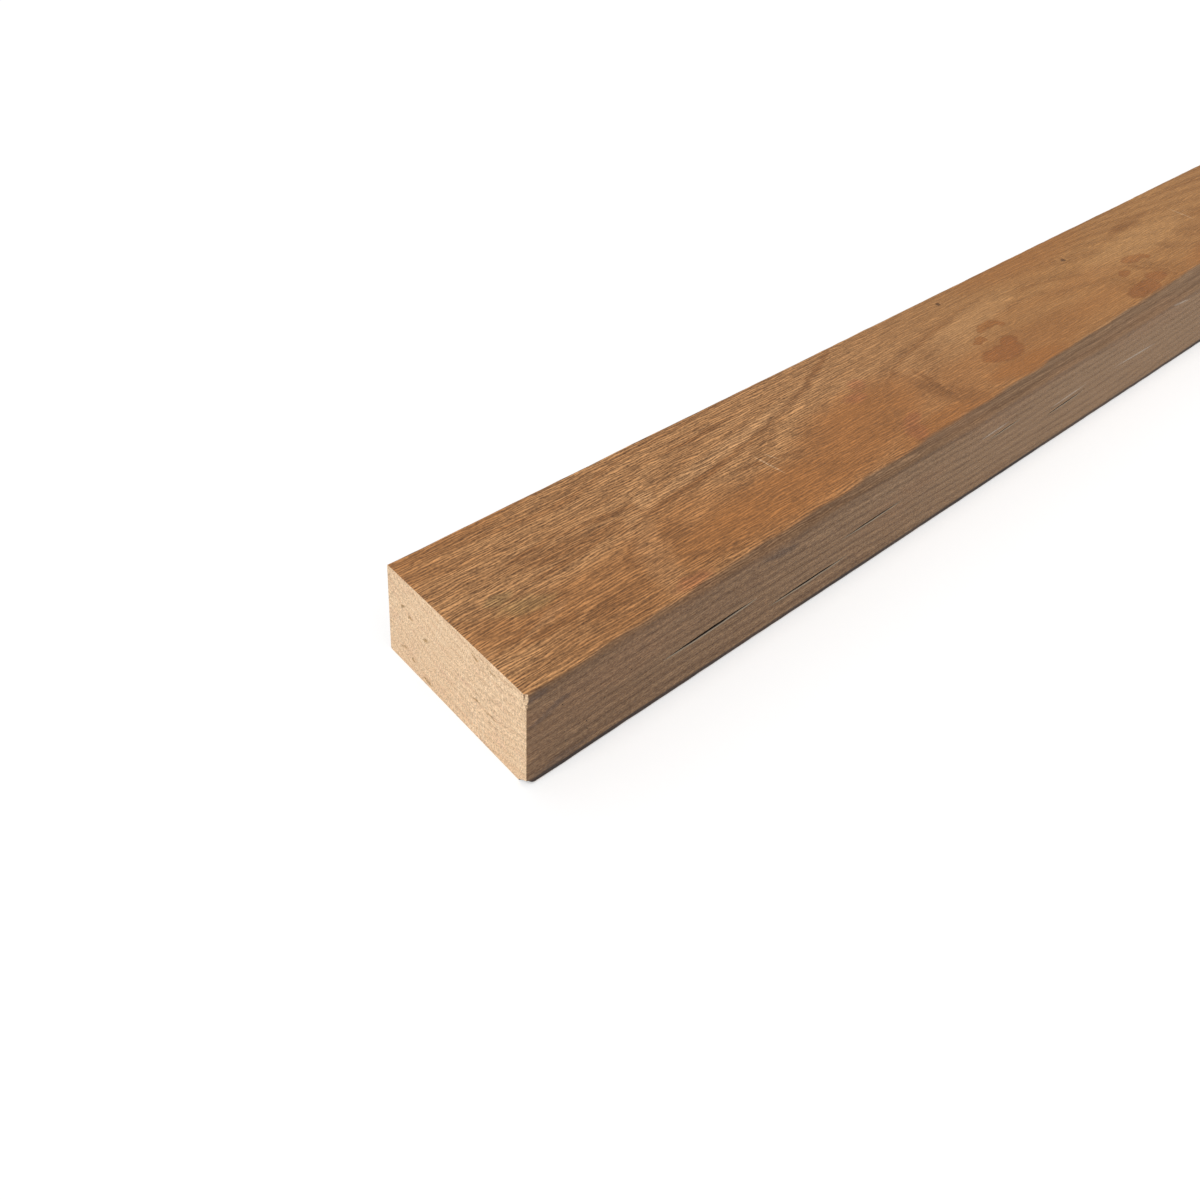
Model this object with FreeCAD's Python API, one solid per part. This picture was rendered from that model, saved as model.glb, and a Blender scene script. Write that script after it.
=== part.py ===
import FreeCAD, Part
import math
import os

from FreeCAD import Vector

# One length of sawn oak: a 100 x 50 mm board, 1.2 m long, in millimetres.
# It lies on its wide face: +X runs along the grain, +Z up through the
# thickness, and the origin is the middle of the underside.

LENGTH = 1200.0
WIDTH = 100.0             # across the underside, the wider of the two wide faces
THICKNESS = 50.0

# The saw left nothing quite square.
SIDE_LEAN = 1.1           # degrees each narrow face leans in towards the top
START_SKEW_PLAN = 1.0     # degrees the -X end is off square, seen from above
START_SKEW_RISE = 0.7     # degrees the -X end leans back, seen from the side
FAR_SKEW_PLAN = -0.6      # the same for the +X end
FAR_SKEW_RISE = 0.4

ARRIS_RADIUS = 1.2        # handled softness of the three straight long edges

# The fourth long edge, top and -Y, is worn into a narrow uneven bevel.
WEAR_MEAN = 1.5           # how far in from the sharp edge, on the diagonal
WEAR_SWING = 0.8          # how much that wanders
WEAR_WAVE = 170.0         # length of the main wander along the board
WEAR_STEP = 20.0          # length of each flat in the bevel

# Corners of the -X end knocked off: reach along, across and up or down.
TOP_NICK = (2.5, 3.0, 9.0)
FOOT_CHIP = (5.0, 6.0, 4.5)

# Drying checks in the narrow faces, as
# (distance from the -X end, height, length, opening, depth, slope in degrees).
# Distances are shares of LENGTH and heights shares of THICKNESS.
CHECKS_FRONT = (
    (0.067, 0.47, 50.0, 1.5, 6.0, 2.0),
    (0.124, 0.29, 48.0, 1.3, 6.0, 0.5),
    (0.165, 0.56, 40.0, 1.1, 5.0, 1.0),
    (0.267, 0.66, 24.0, 0.9, 4.0, 1.5),
    (0.317, 0.48, 32.0, 1.0, 4.5, 1.5),
    (0.470, 0.36, 44.0, 1.2, 5.0, -1.0),
    (0.585, 0.60, 56.0, 1.4, 6.0, 1.0),
    (0.700, 0.27, 38.0, 1.0, 4.5, 0.0),
    (0.805, 0.52, 52.0, 1.3, 5.5, -1.5),
    (0.910, 0.40, 34.0, 1.1, 5.0, 1.0),
)
CHECKS_BACK = (
    (0.110, 0.42, 46.0, 1.2, 5.0, -1.0),
    (0.300, 0.60, 36.0, 1.0, 4.5, 1.0),
    (0.520, 0.33, 58.0, 1.4, 6.0, 0.5),
    (0.690, 0.55, 42.0, 1.1, 5.0, -1.0),
    (0.880, 0.44, 50.0, 1.3, 5.5, 1.0),
)
SLIT_CORNERS = ((-1, 0), (-0.4, 0.9), (0.5, 1), (1, 0), (0.4, -0.9), (-0.5, -1))
CHECK_FLOOR = 0.25        # how wide and long a check still is at its root, as a share
CLEAR = 2.0               # how far a cutting body starts outside the wood


def side_inset(height):
    """How far a narrow face has leaned in at this height."""
    return height * math.tan(math.radians(SIDE_LEAN))


def sawn_block():
    """The four-sided section run along the length."""
    half = WIDTH / 2
    inset = side_inset(THICKNESS)
    start = -LENGTH / 2
    corners = [
        Vector(start, -half, 0),
        Vector(start, half, 0),
        Vector(start, half - inset, THICKNESS),
        Vector(start, -half + inset, THICKNESS),
    ]
    section = Part.Face(Part.makePolygon(corners + corners[:1]))
    return section.extrude(Vector(LENGTH, 0, 0))


def soften_arrises(block):
    """Round the three long edges that stayed straight."""
    edges = []
    for edge in block.Edges:
        middle = edge.CenterOfMass
        along = abs(edge.Length - LENGTH) < 1e-6
        worn = middle.z > THICKNESS / 2 and middle.y < 0
        if along and not worn:
            edges.append(edge)
    return block.makeFillet(ARRIS_RADIUS, edges)


def end_waste(sign, plan, rise):
    """The wood beyond an end cut that touches the block's outermost corner."""
    reach = 2 * WIDTH
    low = min(0.0, sign)
    waste = Part.makeBox(reach, 2 * reach, 2 * reach, Vector(low * reach, -reach, -reach))
    waste.rotate(Vector(0, 0, 0), Vector(0, 1, 0), rise)
    waste.rotate(Vector(0, 0, 0), Vector(0, 0, 1), -plan)
    outer_y = sign * math.copysign(WIDTH / 2, plan)
    outer_z = THICKNESS if sign * rise > 0 else 0.0
    waste.translate(Vector(sign * LENGTH / 2, outer_y, outer_z))
    return waste


def wear_depth(x):
    """Depth of the worn bevel on the diagonal, at this place along the board."""
    turn = 2 * math.pi * x / WEAR_WAVE
    wander = 0.62 * math.sin(turn) + 0.38 * math.sin(2.7 * turn + 1.0)
    return WEAR_MEAN + WEAR_SWING * wander


def worn_arris():
    """A strip laid along the top -Y edge, its inner side a run of short flats."""
    diagonal = Vector(0, -1, 1).normalize()
    across = Vector(0, 1, 1).normalize()
    sharp = Vector(0, -WIDTH / 2 + side_inset(THICKNESS), THICKNESS)
    half_band = 4 * (WEAR_MEAN + WEAR_SWING)
    over = LENGTH / 2 + WEAR_STEP
    count = int(round(2 * over / WEAR_STEP))
    points = []
    for i in range(count + 1):
        x = -over + 2 * over * i / count
        place = sharp - diagonal * wear_depth(x) - across * half_band
        points.append(place + Vector(x, 0, 0))
    out = diagonal * half_band
    outline = points + [points[-1] + out, points[0] + out, points[0]]
    strip = Part.Face(Part.makePolygon(outline))
    return strip.extrude(across * (2 * half_band))


def corner_waste(corner, inward, reach):
    """A slab whose inner face is one slanting break across a corner."""
    tips = [
        corner + Vector(inward.x * reach[0], 0, 0),
        corner + Vector(0, inward.y * reach[1], 0),
        corner + Vector(0, 0, inward.z * reach[2]),
    ]
    out = (tips[1] - tips[0]).cross(tips[2] - tips[0]).normalize()
    if out.dot(corner - tips[0]) < 0:
        out = out * -1
    centre = (tips[0] + tips[1] + tips[2]) * (1.0 / 3.0)
    size = 2.5 * max(reach)
    slab = Part.makeBox(size, size, size, Vector(-size / 2, -size / 2, 0))
    slab.Placement = FreeCAD.Placement(centre, FreeCAD.Rotation(Vector(0, 0, 1), out))
    return slab


def slit_outline(centre, half_length, half_opening, slope):
    """A long pointed six-sided outline standing in a plane that faces along Y."""
    along = Vector(math.cos(math.radians(slope)), 0, math.sin(math.radians(slope)))
    rise = Vector(-along.z, 0, along.x)
    corners = []
    for along_share, rise_share in SLIT_CORNERS:
        offset = along * (along_share * half_length) + rise * (rise_share * half_opening)
        corners.append(centre + offset)
    return Part.makePolygon(corners + corners[:1])


def check(side, place):
    """One drying check: a pointed slit that narrows to its root."""
    share_x, share_z, length, opening, depth, slope = place
    height = share_z * THICKNESS
    x = -LENGTH / 2 + share_x * LENGTH + length / 2
    face_y = side * (WIDTH / 2 - side_inset(height))
    growth = 1 + (1 - CHECK_FLOOR) * CLEAR / depth
    outer = slit_outline(Vector(x, face_y + side * CLEAR, height), growth * length / 2,
                         growth * opening / 2, slope)
    root = slit_outline(Vector(x, face_y - side * depth, height), CHECK_FLOOR * length / 2,
                        CHECK_FLOOR * opening / 2, slope)
    return Part.makeLoft([outer, root], True, True)


def oak_board():
    """The whole board: sawn, ended, handled and dried."""
    board = soften_arrises(sawn_block())
    cuts = [
        end_waste(-1, START_SKEW_PLAN, START_SKEW_RISE),
        end_waste(1, FAR_SKEW_PLAN, FAR_SKEW_RISE),
        worn_arris(),
    ]
    top_corner = Vector(-LENGTH / 2, -WIDTH / 2 + side_inset(THICKNESS), THICKNESS)
    foot_corner = Vector(-LENGTH / 2, -WIDTH / 2, 0)
    cuts.append(corner_waste(top_corner, Vector(1, 1, -1), TOP_NICK))
    cuts.append(corner_waste(foot_corner, Vector(1, 1, 1), FOOT_CHIP))
    for place in CHECKS_FRONT:
        cuts.append(check(-1, place))
    for place in CHECKS_BACK:
        cuts.append(check(1, place))
    for cut in cuts:
        board = board.cut(cut)
    return board.removeSplitter()


os.makedirs("parts", exist_ok=True)
board = oak_board()
board.exportStep("parts/oak_board.step")
print("solids", len(board.Solids), "valid", board.isValid(), "faces", len(board.Faces))
print("bounds", board.optimalBoundingBox())
print("volume", round(board.Volume), "mm3")
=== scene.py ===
"""A length of sawn oak board, with its grain, checks, stains and worn arris, on a pale floor."""
import math
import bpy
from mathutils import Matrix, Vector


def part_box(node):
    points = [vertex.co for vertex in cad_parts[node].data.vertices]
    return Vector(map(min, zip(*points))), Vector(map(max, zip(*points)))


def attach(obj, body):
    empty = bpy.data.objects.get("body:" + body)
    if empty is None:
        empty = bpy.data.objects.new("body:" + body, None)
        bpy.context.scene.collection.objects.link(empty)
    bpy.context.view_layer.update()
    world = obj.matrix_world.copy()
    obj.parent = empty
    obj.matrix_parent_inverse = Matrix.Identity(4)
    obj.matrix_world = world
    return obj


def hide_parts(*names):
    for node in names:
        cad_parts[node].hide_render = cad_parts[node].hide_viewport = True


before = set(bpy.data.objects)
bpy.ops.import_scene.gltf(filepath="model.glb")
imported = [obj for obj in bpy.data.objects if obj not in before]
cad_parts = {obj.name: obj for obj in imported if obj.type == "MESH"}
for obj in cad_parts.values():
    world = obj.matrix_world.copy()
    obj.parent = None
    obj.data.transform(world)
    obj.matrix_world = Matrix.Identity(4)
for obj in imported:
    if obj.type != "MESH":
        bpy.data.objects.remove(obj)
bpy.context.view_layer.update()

from types import SimpleNamespace

import bmesh
import bpy
import numpy as np
from mathutils import Matrix, Vector, noise

bl_info = {
    "name": "Oak Board",
    "version": (1, 0, 0),
    "blender": (4, 5, 0),
    "location": "3D View > Sidebar > Oak",
    "description": "Builds a sawn oak board with solid ring grain, drying checks and a worn arris",
    "category": "Object",
}

NODE_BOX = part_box("oak_board")
SIZE = [high - low for low, high in zip(*NODE_BOX)]
MM = 0.001
WHITE = (1, 1, 1, 1)

# Shape shared with the CAD solid, in millimetres and degrees.
SIDE_LEAN = 1.1
START_SKEW = (1.0, 0.7)
FAR_SKEW = (-0.6, 0.4)
# Width of a check at its bottom as a share of its mouth, and how far its torn tips run on.
CHECK_ROOT = 0.25
CHECK_TIPS = 1.2
# How far the cutters of the checks and pin holes stand out of the wood.
CLEAR = 1.0
PIN_DEPTH = 2.5
# Share of the length, share of the thickness, length, opening, depth, slope.
CHECKS_FRONT = (
    (0.067, 0.47, 50.0, 1.5, 6.0, 2.0),
    (0.124, 0.29, 48.0, 1.3, 6.0, 0.5),
    (0.165, 0.56, 40.0, 1.1, 5.0, 1.0),
    (0.267, 0.66, 24.0, 0.9, 4.0, 1.5),
    (0.317, 0.48, 32.0, 1.0, 4.5, 1.5),
    (0.470, 0.36, 44.0, 1.2, 5.0, -1.0),
    (0.585, 0.60, 56.0, 1.4, 6.0, 1.0),
    (0.700, 0.27, 38.0, 1.0, 4.5, 0.0),
    (0.805, 0.52, 52.0, 1.3, 5.5, -1.5),
    (0.910, 0.40, 34.0, 1.1, 5.0, 1.0),
)
CHECKS_BACK = (
    (0.110, 0.42, 46.0, 1.2, 5.0, -1.0),
    (0.300, 0.60, 36.0, 1.0, 4.5, 1.0),
    (0.520, 0.33, 58.0, 1.4, 6.0, 0.5),
    (0.690, 0.55, 42.0, 1.1, 5.0, -1.0),
    (0.880, 0.44, 50.0, 1.3, 5.5, 1.0),
)
# Insect pin holes in the front narrow face: distance from the start, height, radius.
PIN_HOLES = (
    (19.0, 34.0, 0.45), (30.5, 34.5, 0.4), (42.0, 23.0, 0.45), (20.0, 18.0, 0.4),
    (32.0, 16.5, 0.45), (32.5, 11.5, 0.35), (20.7, 12.5, 0.4), (57.0, 29.0, 0.35),
    (388.0, 38.0, 0.4), (402.0, 17.0, 0.35), (655.0, 30.0, 0.4), (664.0, 24.0, 0.45),
    (676.0, 33.0, 0.35), (1012.0, 14.0, 0.4), (1025.0, 27.0, 0.45),
)
# Corners of the start end knocked off: reach along, across, and down or up.
TOP_NICK = (2.5, 3.0, 9.0)
FOOT_CHIP = (5.0, 6.0, 4.5)
# The arrises: length of the worn one's slow wave, reach and length of the small nibbles in all
# four, and points on each arris and along each long face.
WEAR_WAVE = 170.0
NIBBLE, NIBBLE_LENGTH = 0.35, 9.0
ARRIS_STEPS = 6
FACE_STEPS = (40, 20)
# The sawn faces' unevenness sets in over this distance from the ends.
CALM = 12.0
# A face counts as wide, or as an end, when this much of its normal points that way.
FLAT, SQUARE = 0.7, 0.75
# The pith line's bend: where it starts along the board and how long it is.
BEND_START, BEND_SPAN = -520.0, 660.0
# Grey margin of the top beside the front arris: its width at mid-length, its loss per millimetre.
MARGIN = 17.5
MARGIN_TAPER = 0.027

# Marks on the top face: x and y of the middle, half length, half width, turn in degrees.
ORANGE = (
    (-419.3, -26.8, 78, 15, 0), (-344.7, -13, 50, 20, 10), (-309.6, -38.3, 42, 9, 0),
    (-224.1, -32.3, 34, 8, -3), (72.9, -27.9, 90, 12, 2), (255, 18, 80, 15, 4),
    (470, -16, 70, 18, -3),
)
RUSTY = (
    (-317.5, 13.4, 5, 4, 30), (-328.6, 5.6, 6, 3, 0), (-330.1, -33.5, 7, 5, 60),
    (-321, -25.7, 5, 3, 20), (-501.3, -42.6, 8, 3, 0), (205, 30, 7, 4, 10),
    (392, -33, 9, 4, -20),
)
DUSKY = (
    (-532.1, 9.3, 20, 5, -6), (-509.3, 5.4, 15, 4, -12), (-488.4, -15.2, 10, 6, 20),
    (-370.4, -5.2, 9, 5, 0), (-537.6, -31.9, 18, 4, 0), (-289.5, -12.9, 4, 20, 8),
    (-278.1, -30.5, 6, 9, 35), (-1.9, 28.2, 26, 3, 4), (150, 4, 12, 6, 10),
    (322, -12, 18, 5, -8), (520, 24, 16, 5, 0), (-577, -21, 20, 1.6, 10),
    (-555, -16, 6, 2.2, 20),
)
# Dark ring boundaries, each drawn as a chain of thin ovals.
SEAMS = (
    (-321, 38, 26, 1.7, 23), (-381, 19.5, 40, 1.7, 14), (-454, 6, 38, 1.6, 6),
    (-503, -7, 17, 1.5, 36), (-492, -29, 25, 1.5, -26), (-539, 17, 15, 1.4, 5),
    (-508, 15, 20, 1.5, -7), (-534, 1, 20, 1.3, 3), (-426, 33, 24, 1.3, 0),
    (-569, -27, 18, 1.4, 2), (-401, -6, 24, 1.3, -13), (-284, -14, 17, 1.8, 78),
)
OLIVE = ((-566.9, -9.4, 11, 4, -14), (-574.3, 0.4, 6, 3, 0), (232, -41, 14, 4, 6))
PALE = (
    (-478.5, 12.3, 6, 4, 10), (-412.8, 17.3, 46, 3.5, 8), (-501.7, -19.1, 7, 22, -24),
    (-563.6, -20.2, 10, 2, 15), (-200.2, 16.4, 40, 7, 8), (-28, 8.8, 60, 9, 4),
    (440, 22, 60, 6, -3),
)
WATER = (
    (-224.2, -17.7, 16, 6.5, -5), (-210.1, -11.8, 7, 4.5, 20), (-223.4, -1.1, 5, 3, 15),
    (-205.2, 6.7, 9, 3.2, 8), (-196, 3.8, 3, 3.5, 0),
    (-85.2, -28.2, 16, 6, 3), (-62, -24.2, 9, 4.5, -6), (-74.3, -9.7, 6, 3, 5),
    (-50.1, -1.9, 10, 4, -6), (-40, -5.8, 3.5, 3, 0),
    (306, 14, 15, 6, 20), (324, 22, 7, 5, 0), (296, 30, 5, 3, 40),
)
KNOTS = (
    (-203.6, 39.8, 1.7, 1.3, 20), (-86.7, 25.3, 1.8, 1.4, 20),
    (118, -38, 1.5, 1.2, 0), (411, -20, 2.2, 1.6, 30),
)
SCRATCHES = ((-411.4, -6.2, 0.5, 8, 4), (-405.3, -2.3, 0.4, 3, 20), (47.5, 12.8, 0.5, 9, -12))
# Marks on the front narrow face: x and height of the middle, half sizes, turn.
SMUDGES = (
    (-592.2, 33.6, 5, 1.5, 10), (-584.2, 36.6, 6, 1.5, 12), (-593.9, 47.6, 5, 2, 5),
    (-581.7, 4.9, 14, 1.6, 4), (-452, 43, 10, 2, -8), (39.9, 33.8, 9, 1.5, 4),
    (330, 39, 12, 2, 0),
)
GRAZES = (
    (-124.3, 26.4, 18, 0.5, -2), (-77.9, 46.2, 8, 0.5, -6), (-278.1, 36.1, 10, 0.45, 2),
    (-201.3, 27.5, 14, 0.4, 2), (214, 28, 16, 0.5, 2),
)
# Torn-out nests in the start end's earlywood: y and height, half sizes, turn.
NESTS = (
    (38, 34, 2.2, 0.7, -24), (31.5, 31.2, 1.3, 0.6, -20), (20, 27, 2.4, 0.7, -14),
    (-16, 21.5, 2.6, 0.5, -4), (-27, 20.6, 4.0, 0.4, -2), (38, 10, 2.2, 0.8, -24),
    (31, 7, 1.3, 0.6, -20), (20, 3, 2.6, 0.7, -12), (-16, 44.5, 1.8, 0.6, 0),
    (-27, 45, 3.0, 0.5, 2),
)

# The baking map: bottom and height of each kind of face's strip, as shares of the map.
STRIPS = {"top": (0.005, 0.285), "front": (0.297, 0.150), "under": (0.454, 0.205),
          "back": (0.666, 0.130), "ends": (0.803, 0.145), "cuts": (0.955, 0.040)}
STRIP_GAP = 0.004
# In the strip of the ends: an end's width, then where the far end and the corners start.
END_SPAN, FAR_END, CORNERS = 0.45, 0.48, 0.955
# In metres: how far in a broken corner reaches, the height at which the top one starts, the
# depth that a cut's part of the strip covers; and strip heights for each metre of a corner.
CORNER_REACH, CORNER_TOP, CUT_DEPTH = 0.012, 0.036, 0.008
CORNER_SCALE = 14.0


def shade(name, description, default):
    """A colour that the panel can change."""
    return bpy.props.FloatVectorProperty(
        name=name, description=description, default=default, subtype="COLOR")


class BoardSettings(bpy.types.PropertyGroup):
    """Sizes of the sawn board."""

    length: bpy.props.FloatProperty(
        name="Length", description="Along the grain", default=SIZE[0], unit="LENGTH")
    width: bpy.props.FloatProperty(
        name="Width", description="Across the underside", default=SIZE[1], unit="LENGTH")
    thickness: bpy.props.FloatProperty(
        name="Thickness", description="Underside to top", default=SIZE[2], unit="LENGTH")
    station: bpy.props.FloatProperty(
        name="Station", description="Spacing of the mesh rings along the board",
        default=3.2 * MM, unit="LENGTH")
    arris: bpy.props.FloatProperty(
        name="Arris", description="Radius of the three straight long edges",
        default=1.1 * MM, unit="LENGTH")
    worn_arris: bpy.props.FloatProperty(
        name="Worn Arris", description="Mean radius of the worn top front edge",
        default=2.2 * MM, unit="LENGTH")
    end_edge: bpy.props.FloatProperty(
        name="End Edge", description="Softness of the sawn ends' edges",
        default=0.45 * MM, unit="LENGTH")
    unevenness: bpy.props.FloatProperty(
        name="Unevenness", description="How far the sawn faces wander",
        default=0.22 * MM, unit="LENGTH")
    check_wander: bpy.props.FloatProperty(
        name="Check Wander", description="How far a check strays from a straight line",
        default=0.5 * MM, unit="LENGTH")


class OakSettings(bpy.types.PropertyGroup):
    """Growth rings and colours of the oak."""

    ring: bpy.props.FloatProperty(
        name="Ring", description="Spacing of the growth rings", default=5.0 * MM, unit="LENGTH")
    pith_height: bpy.props.FloatProperty(
        name="Pith Height", description="Height of the tree's centre above the underside",
        default=0.165, unit="LENGTH")
    pith_side: bpy.props.FloatProperty(
        name="Pith Side", description="Place of the tree's centre across the board",
        default=-0.020, unit="LENGTH")
    sweep: bpy.props.FloatProperty(
        name="Sweep", description="How far the tree's centre line bends",
        default=0.024, unit="LENGTH")
    striation: bpy.props.FloatProperty(
        name="Striation", description="Spacing of the fine lines along the grain",
        default=1.5325 * MM, unit="LENGTH")
    tan: shade("Tan", "Light wood of the wide faces", (0.455, 0.232, 0.094))
    brown: shade("Brown", "Darker wood of the wide faces", (0.27, 0.116, 0.038))
    amber: shade("Amber", "Smooth orange patches", (0.375, 0.148, 0.040))
    bleached: shade("Bleached", "Pale patches of the wide faces", (0.60, 0.38, 0.21))
    rust: shade("Rust", "Small red stains", (0.34, 0.11, 0.045))
    moss: shade("Moss", "Greenish stains", (0.29, 0.21, 0.085))
    dried: shade("Dried", "Tint of the dried water stains", (0.84, 0.69, 0.50))
    tide: shade("Tide", "Tint along the edge of a water stain", (0.8, 0.74, 0.66))
    haze: shade("Haze", "Tint of the wide faces away from the start", (0.99, 0.95, 0.80))
    scratch: shade("Scratch", "Fresh wood in a scratch", (0.62, 0.42, 0.25))
    taupe: shade("Taupe", "Weathered wood of the narrow faces", (0.365, 0.218, 0.116))
    umber: shade("Umber", "Dark lines of the narrow faces", (0.20, 0.110, 0.055))
    ruddy: shade("Ruddy", "Warm clouds of the narrow faces", (0.36, 0.19, 0.095))
    smudge: shade("Smudge", "Dark smudges of the narrow faces", (0.10, 0.066, 0.052))
    graze: shade("Graze", "Pale grazes of the narrow faces", (0.62, 0.52, 0.42))
    # Painted shade: the dark line along the foot of the front narrow face, where its lower arris
    # turns under.
    foot_shade: shade("Foot Shade", "Shade painted along the foot of the narrow faces", (0.035, 0.026, 0.024))
    cream: shade("Cream", "Fresh wood of the sawn ends", (0.82, 0.595, 0.385))
    straw: shade("Straw", "Porous bands of the sawn ends", (0.66, 0.43, 0.24))
    blush: shade("Blush", "Rosy bands of the sawn ends", (0.86, 0.58, 0.42))
    ray: shade("Ray", "Rays across the sawn ends", (0.90, 0.72, 0.52))
    nest: shade("Nest", "Torn-out wood of the sawn ends", (0.40, 0.23, 0.08))
    pore: shade("Pore", "Inside of pores and knots", (0.085, 0.036, 0.014))
    # Partly the fibres' own dark and partly painted shade in the grooves between them.
    groove_tone_and_shade: shade("Groove Tone and Shade", "Dark of the grooves between fibres", (0.11, 0.046, 0.017))
    # Painted shade inside the checks and pin holes: their walls pass from the mouth colour to near
    # black with depth.
    mouth: shade("Mouth", "Wood at the mouth of a check", (0.30, 0.21, 0.14))
    gap: shade("Check Shade", "Wood deep in a check", (0.02, 0.012, 0.008))
    # Painted highlight on the outward-facing lower lip of a check.
    torn: shade("Torn", "Torn lower lip of a check", (0.52, 0.42, 0.31))
    # Painted shade on the broken foot corner, whose break faces down towards the floor.
    chip_shade: shade("Chip Shade", "Shade painted in the broken foot corner", (0.06, 0.036, 0.022))


class StageSettings(bpy.types.PropertyGroup):
    """Floor, light and camera."""

    floor: shade("Floor", "Colour of the floor", (0.8, 0.8, 0.8))
    floor_glow: bpy.props.FloatProperty(
        name="Floor Glow", description="Light added to the floor where the camera sees it",
        default=0.28)
    floor_reach: bpy.props.FloatProperty(
        name="Floor Reach", description="From the middle of the floor to its sides",
        default=12.0, unit="LENGTH")
    sky: bpy.props.FloatProperty(
        name="Sky", description="Strength of the even light from all round", default=0.5)
    sun: bpy.props.FloatProperty(
        name="Key", description="Strength of the broad key light", default=1.9)
    sun_angle: bpy.props.FloatProperty(
        name="Key Spread", description="How broad the key light is",
        default=math.radians(34), subtype="ANGLE")
    sun_from: bpy.props.FloatVectorProperty(
        name="Key From", description="Direction that the key light comes from",
        subtype="DIRECTION", default=(-0.62, -0.12, 0.78))
    lens: bpy.props.FloatProperty(
        name="Lens", description="Focal length in millimetres on a 36 mm frame", default=35.7)
    shift: bpy.props.FloatVectorProperty(
        name="Shift", description="Sideways and upward shift of the lens, as shares of the frame",
        size=2, default=(0.0673, -0.1776))
    heading: bpy.props.FloatProperty(
        name="Heading", description="Direction the camera faces, from +X towards +Y",
        default=math.radians(50.99), subtype="ANGLE")
    pitch: bpy.props.FloatProperty(
        name="Pitch", description="How far the camera looks down",
        default=math.radians(31.79), subtype="ANGLE")
    eye: bpy.props.FloatVectorProperty(
        name="Eye", description="Place of the camera", subtype="TRANSLATION", unit="LENGTH",
        default=(-0.8041, -0.2975, 0.3881))


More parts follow.
